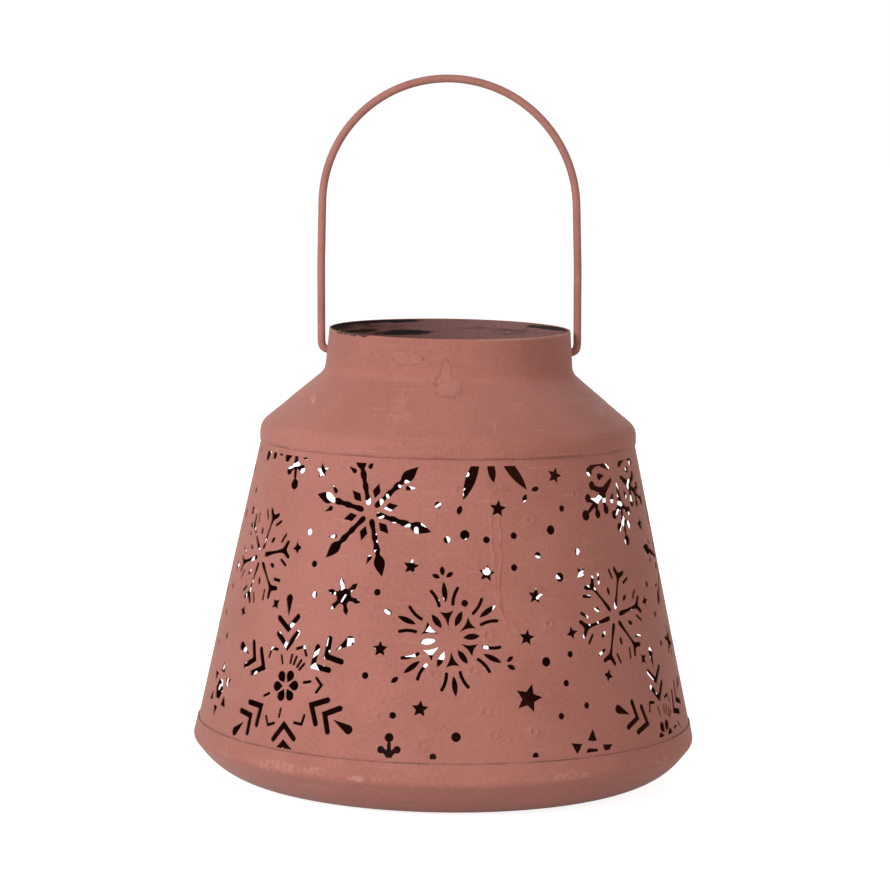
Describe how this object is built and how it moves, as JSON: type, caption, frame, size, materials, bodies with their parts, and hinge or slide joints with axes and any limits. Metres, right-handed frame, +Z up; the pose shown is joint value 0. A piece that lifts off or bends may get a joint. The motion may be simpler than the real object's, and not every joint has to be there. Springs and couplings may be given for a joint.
{
  "type": "punched tin lantern",
  "caption": "Cone-shaped painted tin lantern with a punched snowflake wall, a shallow base pan, an open neck and a swinging wire handle.",
  "frame": {"origin": "centre of the flat underside of the base pan, where the lantern stands", "axes": "+Z up the lantern's axis, -Y towards the viewer of the front, +X to the viewer's right along the handle's pivot line"},
  "size_m": [0.229, 0.229, 0.3188],
  "materials": {
    "tin_paint": "matte terracotta pink paint",
    "wire_paint": "matte terracotta pink paint on wire",
    "solder_paint": "matte paint over solder"
  },
  "bodies": {
    "lantern": {"base_pan": "tin_paint", "punched_body": "tin_paint", "shoulder_neck": "tin_paint", "lower_seam_solder": "solder_paint", "upper_seam_solder": "solder_paint", "lap_seam_solder": "solder_paint"},
    "bail": {"bail_handle": "wire_paint"}
  },
  "joints": [
    {"name": "bail_swing", "type": "hinge", "parent": "lantern", "child": "bail", "pos_m": [0, 0, 0.1936], "axis": [1, 0, 0], "range_deg": [-112, 112]}
  ]
}
